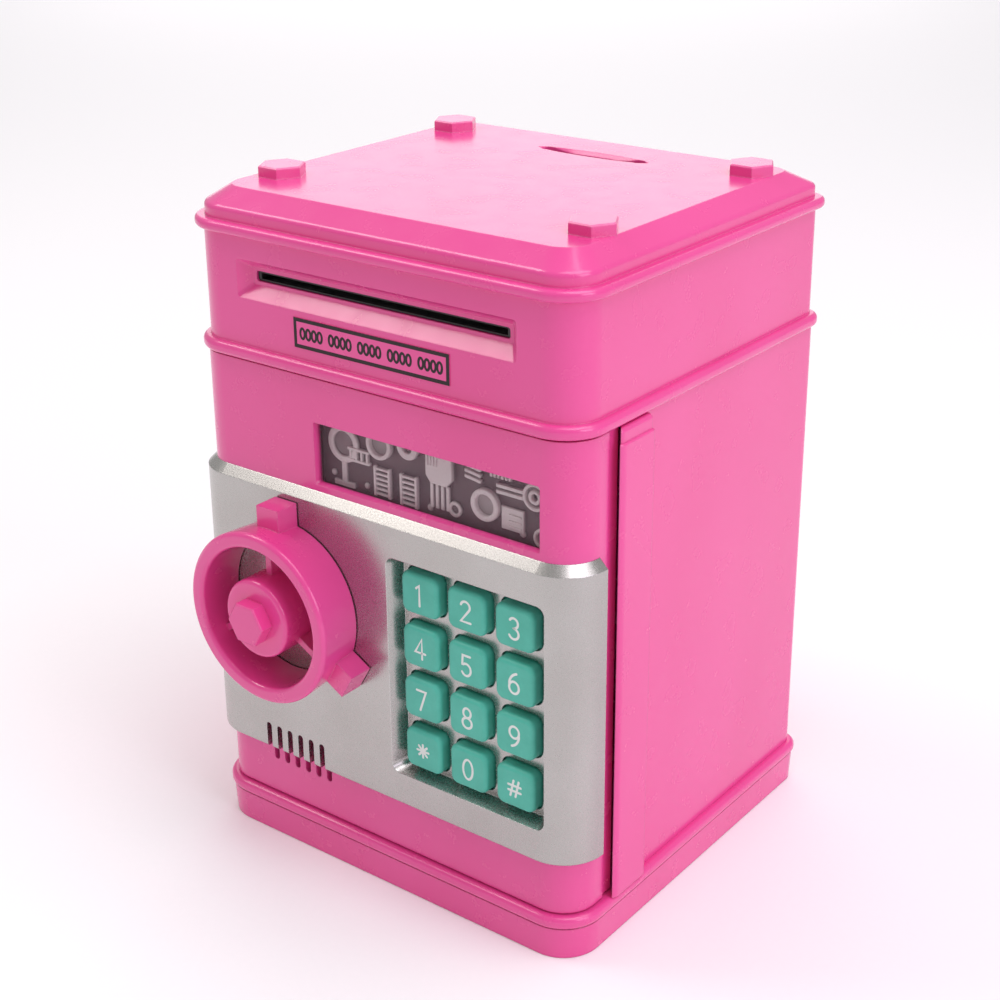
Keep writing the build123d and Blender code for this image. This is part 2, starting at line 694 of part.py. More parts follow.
with BuildPart() as door_panel:
    with BuildSketch(Plane.XY.offset(door_bottom)):
        add(case_outline(case_width, case_depth))
        with Locations((0, door_back)):
            Rectangle(2 * case_width, 2 * case_depth, align=(Align.CENTER, Align.MIN), mode=Mode.SUBTRACT)
    extrude(amount=door_height)
    with BuildSketch(Plane.XY.offset(door_bottom + wall)):
        add(case_outline(case_width - 2 * wall, case_depth - 2 * wall, 7.5, 2.0))
    extrude(amount=door_height - 2 * wall, mode=Mode.SUBTRACT)
    # hinge blocks around both pins
    for block_bottom, block_height in hinge_blocks:
        with BuildSketch(Plane.XY.offset(block_bottom)):
            with Locations(pivot):
                Circle(5.0)
                Rectangle(10, 8.5, align=(Align.CENTER, Align.MAX))
                Rectangle(8.5, 7, align=(Align.MIN, Align.CENTER))
        extrude(amount=block_height)
    with BuildSketch(Plane.XY.offset(door_bottom)):
        with Locations(pivot):
            Circle(2.0)
    extrude(amount=door_height, mode=Mode.SUBTRACT)
    # return that closes the gap beside the hinge column
    with BuildSketch(Plane.XY.offset(door_bottom)):
        with Locations((half_width - return_inset, return_back)):
            Rectangle(wall - return_inset, return_back - door_back + wall, align=(Align.MAX, Align.MAX))
    extrude(amount=door_height)
    # window frame
    with BuildSketch(front_plane(front + 1)):
        with Locations(window_centre):
            RectangleRounded(window_glass[0] + 7, window_glass[1] + 7.5, 2.0)
    extrude(amount=-(window_frame_back - front - 1))
    with BuildSketch(front_plane(front - 0.01)):
        with Locations((window_centre[0], window_centre[1] - 0.15)):
            RectangleRounded(window_glass[0] + 0.8, window_glass[1] + 0.7, 0.7)
    with BuildSketch(front_plane(window_back - 0.8)):
        with Locations(window_centre):
            RectangleRounded(*window_glass, 0.5)
    loft(mode=Mode.SUBTRACT)
    with BuildSketch(front_plane(window_back + 1)):
        with Locations(window_centre):
            RectangleRounded(*window_glass, 0.5)
    extrude(amount=3, mode=Mode.SUBTRACT)
    with BuildSketch(front_plane(window_back)):
        with Locations(window_centre):
            RectangleRounded(window_glass[0] + lens_lip + 0.2, window_glass[1] + lens_lip + 0.2, 1.5)
    extrude(amount=-4.0, mode=Mode.SUBTRACT)
    # keypad opening, spindle boss and bore, speaker vents
    with BuildSketch(front_plane(front + wall + 1.5)):
        with Locations(keypad_centre):
            Rectangle(keypad_lip[0] + 2.4, keypad_lip[1] + 2.4)
    extrude(amount=10, mode=Mode.SUBTRACT)
    with BuildSketch(front_plane(front + 1)):
        with Locations(dial_centre):
            Circle(6.0)
    extrude(amount=-10.5)
    with BuildSketch(front_plane(front + 15)):
        with Locations(dial_centre):
            Circle(spindle_radius + running_clearance)
        with Locations(*[(x, (vent_bottom + vent_top) / 2) for x in vents]):
            SlotOverall(vent_top - vent_bottom, vent_width, rotation=90)
    extrude(amount=20, mode=Mode.SUBTRACT)
save(door_panel, "door_panel")

with BuildPart() as hinge_pins:
    for pin_bottom, pin_length in ((6.0, 20.0), (door_top - 6.8, 13.8)):
        with BuildSketch(Plane.XY.offset(pin_bottom)):
            with Locations(pivot):
                Circle(2.0)
        extrude(amount=pin_length)
save(hinge_pins, "hinge_pins")

plate_end = -47.5
plate_height = plate_top - plate_bottom

with BuildPart() as faceplate:
    with BuildSketch(Plane.XY.offset(plate_bottom)):
        add(case_outline(case_width + 2 * plate_thickness, case_depth + 2 * plate_thickness,
                         front_corner + plate_thickness, rear_corner))
        with Locations((0, plate_end)):
            Rectangle(2 * case_width, 2 * case_depth, align=(Align.CENTER, Align.MIN), mode=Mode.SUBTRACT)
    extrude(amount=plate_height)
    rim = faceplate.edges().filter_by_position(Axis.Y, plate_front - 1, plate_end - 0.5)
    chamfer(rim.filter_by_position(Axis.Z, plate_top - 0.01, plate_top + 0.01), 2.4)
    rim = faceplate.edges().filter_by_position(Axis.Y, plate_front - 1, plate_end - 0.5)
    fillet(rim.filter_by_position(Axis.Z, plate_bottom - 0.01, plate_bottom + 0.01), 0.8)
    with BuildSketch(Plane.XY.offset(plate_bottom)):
        add(case_outline(case_width, case_depth))
    extrude(amount=plate_height, mode=Mode.SUBTRACT)
    # keypad pan, set into the door's opening
    with BuildSketch(front_plane(keypad_floor_face + 1.2)):
        with Locations(keypad_centre):
            Rectangle(keypad_lip[0] + 2.0, keypad_lip[1] + 2.0)
    extrude(amount=keypad_floor_face + 1.2 - plate_front - 1)
    with BuildSketch(front_plane(plate_front - 0.01)):
        with Locations(keypad_centre):
            RectangleRounded(*keypad_lip, 2.5)
    with BuildSketch(front_plane(keypad_floor_face)):
        with Locations(keypad_centre):
            RectangleRounded(*keypad_floor, 2.0)
    loft(mode=Mode.SUBTRACT)
    with BuildSketch(front_plane(keypad_floor_face + 3)):
        with Locations(keypad_centre):
            with GridLocations(*key_pitch, 3, 4):
                RectangleRounded(key_size[0] + 0.9, key_size[1] + 0.9, 2.6)
    extrude(amount=5, mode=Mode.SUBTRACT)
    with BuildSketch(front_plane(front + 1)):
        with Locations(dial_centre):
            Circle(spindle_radius + 1)
        for x in vents:
            with Locations((x, plate_bottom)):
                SlotOverall(2 * (vent_top - plate_bottom), vent_width, rotation=90)
    extrude(amount=6, mode=Mode.SUBTRACT)
save(faceplate, "faceplate")

with BuildPart() as window_lens:
    with BuildSketch(front_plane(window_back + 1.5)):
        with Locations(window_centre):
            RectangleRounded(window_glass[0] + lens_lip, window_glass[1] + lens_lip, 1.5)
    extrude(amount=1.5)
save(window_lens, "window_lens")

with BuildPart() as window_relief:
    with BuildSketch(front_plane(window_back + 5.0)):
        with Locations(window_centre):
            RectangleRounded(window_glass[0] + 5, window_glass[1] + 5, 1.5)
    extrude(amount=1.2)
save(window_relief, "window_relief")

# ---------------------------------------------------------------- keypad
flange_front = keypad_floor_face + 1.2 + 0.3
membrane_front = flange_front + 1.0 + key_travel + 0.3
key_names = ["1", "2", "3", "4", "5", "6", "7", "8", "9", "star", "0", "hash"]

for index, key_name in enumerate(key_names):
    column_x = keypad_centre[0] + (index % 3 - 1) * key_pitch[0]
    row_z = keypad_centre[1] + (1.5 - index // 3) * key_pitch[1]
    with BuildPart() as key:
        with BuildSketch(front_plane(flange_front)):
            with Locations((column_x, row_z)):
                RectangleRounded(*key_size, 2.4)
        extrude(amount=flange_front - key_front)
        fillet(key.faces().sort_by(Axis.Y)[0].edges(), 1.2)
        with BuildSketch(front_plane(flange_front + 1.0)):
            with Locations((column_x, row_z)):
                RectangleRounded(key_size[0] + 2.0, key_size[1] + 2.0, 2.4)
        extrude(amount=1.0)
    save(key, f"key_{key_name}")

with BuildPart() as keypad_membrane:
    with BuildSketch(front_plane(membrane_front + 1.0)):
        with Locations(keypad_centre):
            RectangleRounded(48.0, 62.0, 2.0)
    extrude(amount=1.0)
save(keypad_membrane, "keypad_membrane")

board_front = membrane_front + 1.0

with BuildPart() as control_board:
    with BuildSketch(front_plane(board_front + 1.5)):
        with Locations(keypad_centre):
            RectangleRounded(52.0, 66.0, 1.5)
    extrude(amount=1.5)
save(control_board, "control_board")

with BuildPart() as board_parts:
    with BuildSketch(front_plane(board_front + 3.7)):
        with Locations((24, 82)):
            Rectangle(10.0, 7.5)
        with Locations((38, 82)):
            Rectangle(6.0, 5.0)
        with Locations((38, 52), (25, 62)):
            Circle(2.5)
        with Locations((22, 50)):
            Rectangle(12.0, 4.0)
    extrude(amount=2.2)
save(board_parts, "board_parts")

# ---------------------------------------------------------------- speaker behind the vents
speaker_centre = (vent_first + vent_pitch * 2.5, 31.5)

with BuildPart() as speaker:
    with BuildSketch(front_plane(front + wall + 1.0)):
        with Locations(speaker_centre):
            Circle(13.5)
    extrude(amount=0.8)
    with BuildSketch(front_plane(front + wall + 1.0)):
        with Locations(speaker_centre):
            Circle(13.0)
    with BuildSketch(front_plane(front + wall + 4.5)):
        with Locations(speaker_centre):
            Circle(8.5)
    loft()
    with BuildSketch(front_plane(front + wall + 4.5)):
        with Locations(speaker_centre):
            Circle(8.0)
    extrude(amount=-3.6)
save(speaker, "speaker")

# ---------------------------------------------------------------- door lining and latch
lining_back = door_back + 2.0
lining_half_width = inner_half_width - 1.2
lining_screws = [(-52, 24), (-52, 138), (38, 24), (38, 138)]
rack_pitch = pi * gear_module
bolt_reach = 58.5
bolt_right = -14.0
bolt_bottom = latch_level - 8.0
bolt_root = latch_level - 1.15 * gear_module
plunger_x = -30.0
plunger_y = (bolt_front + bolt_back) / 2
stop_tooth = (2.2, 2.2)
plunger_top = bolt_bottom - 3.4
collar_bottom = plunger_top - 3.6

with BuildPart() as door_inner_cover:
    with BuildSketch(front_plane(lining_back)):
        with Locations(((44.0 - lining_half_width) / 2, (door_bottom + door_top) / 2)):
            RectangleRounded(44.0 + lining_half_width, door_height - 3, 3.0)
        with Locations((-inner_half_width, (keeper_height[0] + keeper_height[1]) / 2)):
            Rectangle(8.0, keeper_height[1] - keeper_height[0] + 1.6,
                      align=(Align.MIN, Align.CENTER), mode=Mode.SUBTRACT)
        with Locations(dial_centre):
            Circle(spindle_radius + 0.6, mode=Mode.SUBTRACT)
        with Locations(*lining_screws):
            Circle(1.7, mode=Mode.SUBTRACT)
    extrude(amount=lining_back - door_back)
    # rails that guide the bolt, and posts for the latch cover
    with BuildSketch(front_plane(lining_back)):
        with Locations((-47, bolt_bottom - 0.3), (-15, bolt_bottom - 0.3)):
            Rectangle(10, 3, align=(Align.CENTER, Align.MAX))
        with Locations((-47.5, bolt_root + 0.3)):
            Rectangle(7, 3, align=(Align.CENTER, Align.MIN))
        with Locations((-44, 86), (-14, 86)):
            Circle(3.0)
    extrude(amount=-(bolt_back + 0.4 - lining_back))
save(door_inner_cover, "door_inner_cover")

with BuildPart() as door_screws:
    for x, z in lining_screws:
        with BuildSketch(front_plane(lining_back)):
            with Locations((x, z)):
                Circle(2.8)
        extrude(amount=-1.6)
        with BuildSketch(front_plane(lining_back)):
            with Locations((x, z)):
                Circle(1.4)
        extrude(amount=9.0)
        with BuildSketch(front_plane(lining_back + 1.6)):
            with Locations((x, z)):
                Rectangle(3.2, 0.8)
                Rectangle(0.8, 3.2)
        extrude(amount=0.9, mode=Mode.SUBTRACT)
save(door_screws, "door_screws")

with BuildPart() as latch_cover:
    with BuildSketch(front_plane(bolt_back + 1.9)):
        with Locations((-30.5, 77)):
            RectangleRounded(41.0, 26.0, 2.5)
        with Locations(dial_centre):
            Circle(2.0 + running_clearance, mode=Mode.SUBTRACT)
    extrude(amount=1.5)
save(latch_cover, "latch_cover")

with BuildPart() as latch_bolt:
    with BuildSketch(front_plane(bolt_back)):
        with Locations((-bolt_reach, bolt_bottom)):
            Rectangle(bolt_reach + bolt_right, bolt_root - bolt_bottom, align=(Align.MIN, Align.MIN))
        for k in range(-5, 2):
            tooth_x = dial_centre[0] + (k + 0.5) * rack_pitch
            half_pitch_tooth = rack_pitch / 4 - 0.12
            tip = 0.8 * gear_module
            root = 1.15 * gear_module
            slope = tan(pressure_angle)
            with BuildLine():
                Polyline((tooth_x - half_pitch_tooth - root * slope, latch_level - root - 0.1),
                         (tooth_x - half_pitch_tooth + tip * slope, latch_level + tip),
                         (tooth_x + half_pitch_tooth - tip * slope, latch_level + tip),
                         (tooth_x + half_pitch_tooth + root * slope, latch_level - root - 0.1),
                         close=True)
            make_face()
        with Locations((plunger_x - 2.0, bolt_bottom)):
            Rectangle(*stop_tooth, align=(Align.MAX, Align.MAX))
    extrude(amount=bolt_back - bolt_front)
    nose = latch_bolt.edges().filter_by(Axis.Z).sort_by(Axis.X)[0:2]
    chamfer(nose, 1.2)
save(latch_bolt, "latch_bolt")

solenoid_top = 53.5

with BuildPart() as lock_solenoid:
    with BuildSketch(Plane.XY.offset(solenoid_top - 16)):
        with Locations((plunger_x, plunger_y)):
            Rectangle(12.0, 2 * (plunger_y - lining_back))
            Circle(1.6, mode=Mode.SUBTRACT)
    extrude(amount=16)
save(lock_solenoid, "lock_solenoid")

with BuildPart() as lock_plunger:
    with BuildSketch(Plane.XY.offset(solenoid_top - 12)):
        with Locations((plunger_x, plunger_y)):
            Circle(1.5)
    extrude(amount=plunger_top - solenoid_top + 12)
    with BuildSketch(Plane.XY.offset(collar_bottom)):
        with Locations((plunger_x, plunger_y)):
            Circle(2.4)
    extrude(amount=0.8)
save(lock_plunger, "lock_plunger")

spring_height = collar_bottom - solenoid_top

with BuildPart() as plunger_spring:
    with BuildLine():
        coil = Helix(pitch=(spring_height - 0.5) / 4, height=spring_height - 0.5, radius=2.1,
                     center=(plunger_x, plunger_y, solenoid_top + 0.25))
    with BuildSketch(Plane(coil @ 0, z_dir=coil % 0)):
        Circle(0.22)
    sweep(is_frenet=True)
save(plunger_spring, "plunger_spring")

# ---------------------------------------------------------------- dial
dial_rear = plate_front - 0.3
dial_draft = 4.2
dial_wall = 4.4
hub_radius = 11.0
spindle_tip = dial_rear - 7.8
spoke_front = dial_front + 6.0
spoke_width = 1.9
lug_front = dial_rear - 7.2
lug_width = 7.6
lug_tip = 29.6
lug_root = dial_radius - 3.0

with BuildPart() as dial_wheel:
    with BuildSketch(front_plane(dial_rear)):
        with Locations(dial_centre):
            Circle(dial_radius - (dial_rear - dial_front) * tan(radians(dial_draft)))
    extrude(amount=dial_rear - dial_front, taper=-dial_draft)
    rim_edge = dial_wheel.edges().filter_by_position(Axis.Y, dial_front - 0.01, dial_front + 0.01)
    fillet(rim_edge, 1.3)
    with BuildSketch(front_plane(dial_rear)):
        with Locations(dial_centre):
            Circle(dial_radius - dial_wall)
            Circle(hub_radius, mode=Mode.SUBTRACT)
    extrude(amount=dial_rear - dial_front, mode=Mode.SUBTRACT)
    inner_rim = dial_wheel.edges().filter_by(GeomType.CIRCLE)
    inner_rim = inner_rim.filter_by_position(Axis.Y, dial_front - 0.01, dial_front + 0.01)
    fillet(inner_rim.sort_by(SortBy.LENGTH)[0:2], 1.2)
    # spokes inside the ring and grips outside it
    with BuildSketch(front_plane(dial_rear)):
        for angle in dial_lug_angles:
            reach = Vector(cos(radians(angle)), sin(radians(angle)))
            middle = (hub_radius + dial_radius - dial_wall) / 2
            with Locations((dial_centre[0] + middle * reach.X, dial_centre[1] + middle * reach.Y)):
                Rectangle(dial_radius - dial_wall - hub_radius + 1.5, spoke_width, rotation=angle)
    extrude(amount=dial_rear - spoke_front)
    with BuildSketch(front_plane(dial_rear)):
        for angle in dial_lug_angles:
            reach = Vector(cos(radians(angle)), sin(radians(angle)))
            middle = (lug_tip + lug_root) / 2
            with Locations((dial_centre[0] + middle * reach.X, dial_centre[1] + middle * reach.Y)):
                Rectangle(lug_tip - lug_root, lug_width, rotation=angle)
    extrude(amount=dial_rear - lug_front)
    # spindle bore and cap bore
    with BuildSketch(front_plane(dial_rear)):
        with Locations(dial_centre):
            Circle(spindle_radius)
    extrude(amount=dial_rear - spindle_tip + 0.2, mode=Mode.SUBTRACT)
    with BuildSketch(front_plane(dial_front)):
        with Locations(dial_centre):
            Circle(3.5)
    extrude(amount=-4.0, mode=Mode.SUBTRACT)
save(dial_wheel, "dial_wheel")

with BuildPart() as dial_cap:
    with BuildSketch(front_plane(dial_front)):
        with Locations(dial_centre):
            RegularPolygon(6.2, 6)
    extrude(amount=4.0)
    chamfer(dial_cap.faces().sort_by(Axis.Y)[0].edges(), 0.3)
    with BuildSketch(front_plane(dial_front)):
        with Locations(dial_centre):
            Circle(3.5)
    extrude(amount=-3.8)
save(dial_cap, "dial_cap")

with BuildPart() as dial_spindle:
    with BuildSketch(front_plane(lining_back + 0.3)):
        with Locations(dial_centre):
            Circle(spindle_radius)
    extrude(amount=lining_back + 0.3 - spindle_tip)
    with BuildSketch(front_plane(bolt_back + 2.4)):
        with Locations(dial_centre):
            Circle(2.0)
    extrude(amount=bolt_back + 2.4 - lining_back - 0.3)
save(dial_spindle, "dial_spindle")

with BuildPart() as latch_pinion:
    with BuildSketch(front_plane(bolt_back)):
        with Locations(dial_centre):
            Polygon(*gear_outline(11, 0.16, -pi / 2), align=None)
            Circle(2.0, mode=Mode.SUBTRACT)
    extrude(amount=bolt_back - bolt_front - 0.4)
save(latch_pinion, "latch_pinion")
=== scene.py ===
"""Looks of the toy safe coin bank: Blender 4.5, metres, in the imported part's own frame.

+Z is up, the door with the keypad and the dial faces -Y, and +X is the hinge side.
"""
import json
import math

import bmesh
import bpy
from mathutils import Matrix, Vector


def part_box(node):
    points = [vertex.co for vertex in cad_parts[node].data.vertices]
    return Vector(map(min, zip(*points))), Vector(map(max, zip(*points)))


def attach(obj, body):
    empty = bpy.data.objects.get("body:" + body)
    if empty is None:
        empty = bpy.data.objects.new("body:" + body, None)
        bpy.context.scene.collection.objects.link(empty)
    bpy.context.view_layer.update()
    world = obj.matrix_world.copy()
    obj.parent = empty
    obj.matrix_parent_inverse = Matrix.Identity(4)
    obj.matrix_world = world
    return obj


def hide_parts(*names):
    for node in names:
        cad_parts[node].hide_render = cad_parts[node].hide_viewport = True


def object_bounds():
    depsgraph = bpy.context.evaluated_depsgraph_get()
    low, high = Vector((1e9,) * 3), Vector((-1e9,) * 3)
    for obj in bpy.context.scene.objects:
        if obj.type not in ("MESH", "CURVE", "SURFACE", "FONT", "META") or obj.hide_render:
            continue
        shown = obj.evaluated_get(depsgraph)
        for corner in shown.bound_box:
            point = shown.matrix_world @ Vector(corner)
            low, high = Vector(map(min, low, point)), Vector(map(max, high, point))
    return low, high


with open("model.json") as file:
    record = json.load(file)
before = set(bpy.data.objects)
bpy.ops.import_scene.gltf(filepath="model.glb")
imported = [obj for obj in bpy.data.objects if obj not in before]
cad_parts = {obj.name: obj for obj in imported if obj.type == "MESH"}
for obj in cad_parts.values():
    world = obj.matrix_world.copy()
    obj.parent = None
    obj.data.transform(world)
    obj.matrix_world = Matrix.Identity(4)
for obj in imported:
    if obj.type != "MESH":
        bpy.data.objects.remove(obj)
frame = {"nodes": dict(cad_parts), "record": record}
nodes = frame["nodes"]
packed_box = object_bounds()
MM = 0.001


# ---------------------------------------------------------------- node helpers
def new_material(name):
    """A material with its node tree and its shader."""
    material = bpy.data.materials.new(name)
    material.use_nodes = True
    tree = material.node_tree
    return material, tree, tree.nodes["Principled BSDF"]


def part_coordinates(tree):
    """Places in metres in the part's frame, the same for every piece."""
    return tree.nodes.new("ShaderNodeTexCoord").outputs["Object"]


def stretched(tree, source, stretch):
    """Coordinates scaled by a different amount on each axis."""
    mapping = tree.nodes.new("ShaderNodeMapping")
    mapping.inputs["Scale"].default_value = stretch
    tree.links.new(source, mapping.inputs["Vector"])
    return mapping.outputs["Vector"]


def noise(tree, source, size_mm, detail=2.0, contrast=0.5):
    """Soft noise from 0 to 1 whose features are about size_mm wide."""
    node = tree.nodes.new("ShaderNodeTexNoise")
    node.inputs["Scale"].default_value = 1.0 / (size_mm * MM)
    node.inputs["Detail"].default_value = detail
    node.inputs["Roughness"].default_value = contrast
    tree.links.new(source, node.inputs["Vector"])
    return node.outputs["Fac"]


def cells(tree, source, size_mm):
    """A random value from 0 to 1 for each cell about size_mm wide."""
    node = tree.nodes.new("ShaderNodeTexVoronoi")
    node.inputs["Scale"].default_value = 1.0 / (size_mm * MM)
    tree.links.new(source, node.inputs["Vector"])
    split = tree.nodes.new("ShaderNodeSeparateColor")
    tree.links.new(node.outputs["Color"], split.inputs["Color"])
    return split.outputs["Red"]


def spread(tree, source, low, high, to_low=0.0, to_high=1.0, smooth=False):
    """The source taken from low..high to to_low..to_high, held within them."""
    node = tree.nodes.new("ShaderNodeMapRange")
    node.clamp = True
    if smooth:
        node.interpolation_type = "SMOOTHSTEP"
    node.inputs["From Min"].default_value = low
    node.inputs["From Max"].default_value = high
    node.inputs["To Min"].default_value = to_low
    node.inputs["To Max"].default_value = to_high
    tree.links.new(source, node.inputs["Value"])
    return node.outputs["Result"]


def combine(tree, operation, first, second):
    """One number from two sockets or numbers."""
    node = tree.nodes.new("ShaderNodeMath")
    node.operation = operation
    for value, socket in ((first, node.inputs[0]), (second, node.inputs[1])):
        if isinstance(value, (int, float)):
            socket.default_value = value
        else:
            tree.links.new(value, socket)
    return node.outputs[0]


def blend_colours(tree, factor, first, second):
    """A colour between two, each given as a socket or as three linear numbers."""
    node = tree.nodes.new("ShaderNodeMix")
    node.data_type = "RGBA"
    tree.links.new(factor, node.inputs[0])
    for value, socket in ((first, node.inputs[6]), (second, node.inputs[7])):
        if isinstance(value, tuple):
            socket.default_value = (*value, 1.0)
        else:
            tree.links.new(value, socket)
    return node.outputs[2]


def rounded_edge(tree, radius_mm):
    """A normal that turns softly round sharp edges."""
    node = tree.nodes.new("ShaderNodeBevel")
    node.samples = 4
    node.inputs["Radius"].default_value = radius_mm * MM
    return node.outputs["Normal"]


def edge_mask(tree, soft_normal, flat_cosine=0.99, sharp_cosine=0.85):
    """1 on sharp edges and 0 on flat faces."""
    true_normal = tree.nodes.new("ShaderNodeNewGeometry").outputs["Normal"]
    dot = tree.nodes.new("ShaderNodeVectorMath")
    dot.operation = "DOT_PRODUCT"
    tree.links.new(soft_normal, dot.inputs[0])
    tree.links.new(true_normal, dot.inputs[1])
    return spread(tree, dot.outputs["Value"], flat_cosine, sharp_cosine)


def raise_surface(tree, shader, height, depth_mm, normal=None):
    """Bump of a given depth on the shader."""
    node = tree.nodes.new("ShaderNodeBump")
    node.inputs["Strength"].default_value = 1.0
    node.inputs["Distance"].default_value = depth_mm * MM
    tree.links.new(height, node.inputs["Height"])
    if normal is not None:
        tree.links.new(normal, node.inputs["Normal"])
    tree.links.new(node.outputs["Normal"], shader.inputs["Normal"])


# ---------------------------------------------------------------- families of material
# Colours are linear red, green and blue. Texture depths and edge radii are in millimetres.
PLASTIC_IOR, ACRYLIC_IOR = 1.52, 1.49
COAT_ROUGHNESS = 0.12


def moulded(name, colour, shade, roughness, texture=0.0012, edge_radius=0.35, edge_wear_and_highlight=0.25, coat=0.0):
    """Injection-moulded plastic: flow marks, fine skin texture, and edges made paler in patches, partly as
    wear and partly as a painted highlight.
    """
    material, tree, shader = new_material(name)
    place = part_coordinates(tree)
    flow = noise(tree, stretched(tree, place, (1.0, 1.0, 0.45)), size_mm=34.0, detail=1.0, contrast=0.4)
    speck = noise(tree, place, size_mm=0.9, detail=3.0, contrast=0.6)
    skin = noise(tree, place, size_mm=0.35)
    ripple = noise(tree, place, size_mm=7.0, detail=1.0, contrast=0.4)
    body = blend_colours(tree, spread(tree, flow, 0.25, 0.75, smooth=True), colour, shade)

    soft = rounded_edge(tree, edge_radius)
    edges = edge_mask(tree, soft)
    # edges made paler in patches: partly wear, partly a painted highlight
    wear_and_highlight_mask = combine(tree, "MULTIPLY", edges, spread(tree, speck, 0.40, 0.62, to_low=0.35))
    wear_and_highlight_mask = combine(tree, "MULTIPLY", wear_and_highlight_mask, edge_wear_and_highlight)
    edge_lift = 0.22
    pale = tuple(min(1.0, channel + edge_lift) for channel in colour)
    tree.links.new(blend_colours(tree, wear_and_highlight_mask, body, pale), shader.inputs["Base Color"])

    uneven = 0.035
    gloss = spread(tree, ripple, 0.3, 0.7, roughness - uneven, roughness + uneven)
    gloss = combine(tree, "ADD", gloss, spread(tree, speck, 0.3, 0.8, to_low=-0.01, to_high=0.01))
    tree.links.new(gloss, shader.inputs["Roughness"])
    ripple_share = 2.2
    height = combine(tree, "ADD", combine(tree, "MULTIPLY", ripple, ripple_share), skin)
    raise_surface(tree, shader, height, texture, soft)
    shader.inputs["IOR"].default_value = PLASTIC_IOR
    shader.inputs["Coat Weight"].default_value = coat
    shader.inputs["Coat Roughness"].default_value = COAT_ROUGHNESS
    return material


def metallic(name, colour, shade, roughness, grain=(1.0, 1.0, 1.0), flake=0.0, metalness=1.0, edge_radius=0.3,
             grain_depth=0.004):
    """Bare or painted metal: fine grain, flakes, light scuffs, and edges made paler by a painted highlight.
    """
    material, tree, shader = new_material(name)
    place = part_coordinates(tree)
    lines = noise(tree, stretched(tree, place, grain), size_mm=0.5, detail=4.0, contrast=0.65)
    cloud = noise(tree, place, size_mm=22.0, detail=3.0)
    scuff = noise(tree, stretched(tree, place, (1.0, 1.0, 6.0)), size_mm=3.0, detail=5.0, contrast=0.7)
    body = blend_colours(tree, spread(tree, cloud, 0.3, 0.7), colour, shade)
    if flake > 0:
        flake_lift = 1.5
        dots = spread(tree, cells(tree, place, size_mm=0.22), 0.0, 1.0, to_high=flake)
        body = blend_colours(tree, dots, body, tuple(min(1.0, channel * flake_lift) for channel in colour))

    soft = rounded_edge(tree, edge_radius)
    # painted highlight: the colour along the edges is lifted towards near-white
    highlight_share, highlight_colour = 0.45, (0.90, 0.90, 0.90)
    edge_highlight = combine(tree, "MULTIPLY", edge_mask(tree, soft), highlight_share)
    tree.links.new(blend_colours(tree, edge_highlight, body, highlight_colour), shader.inputs["Base Color"])
    gloss = spread(tree, lines, 0.25, 0.75, roughness - 0.06, roughness + 0.07)
    gloss = combine(tree, "ADD", gloss, spread(tree, scuff, 0.60, 0.80, to_high=0.08))
    tree.links.new(gloss, shader.inputs["Roughness"])
    raise_surface(tree, shader, combine(tree, "ADD", lines, scuff), grain_depth, soft)
    shader.inputs["Metallic"].default_value = metalness
    return material


# ---------------------------------------------------------------- materials
pink = moulded("pink_abs", (0.78, 0.058, 0.285), (0.81, 0.068, 0.310), roughness=0.25, texture=0.0005,
               edge_radius=0.5, edge_wear_and_highlight=0.35, coat=0.4)
silver = metallic("silver_paint", (0.44, 0.425, 0.405), (0.48, 0.468, 0.45), roughness=0.25, flake=0.04,
                  metalness=0.92, grain_depth=0.0008)
steel = metallic("zinc_steel", (0.56, 0.57, 0.58), (0.48, 0.49, 0.50), roughness=0.30, grain=(1.0, 1.0, 0.2))
brass = metallic("plated_brass", (0.80, 0.60, 0.28), (0.70, 0.50, 0.22), roughness=0.26)
white = moulded("white_styrene", (0.74, 0.73, 0.70), (0.69, 0.68, 0.655), roughness=0.42)
black = moulded("black_abs", (0.012, 0.012, 0.013), (0.018, 0.018, 0.019), roughness=0.38, edge_wear_and_highlight=0.10)
rubber = moulded("roller_rubber", (0.018, 0.018, 0.018), (0.026, 0.025, 0.024), roughness=0.72, texture=0.02,
                 edge_wear_and_highlight=0.08)
nylon = moulded("gear_nylon", (0.72, 0.69, 0.60), (0.66, 0.63, 0.54), roughness=0.44)
numeral_ink = moulded("numeral_ink", (0.80, 0.83, 0.80), (0.72, 0.76, 0.73), roughness=0.48, texture=0.004,
                      edge_radius=0.08)
label_ink = moulded("label_ink", (0.010, 0.002, 0.004), (0.018, 0.004, 0.008), roughness=0.60, texture=0.001,
                    edge_radius=0.05, edge_wear_and_highlight=0.02)


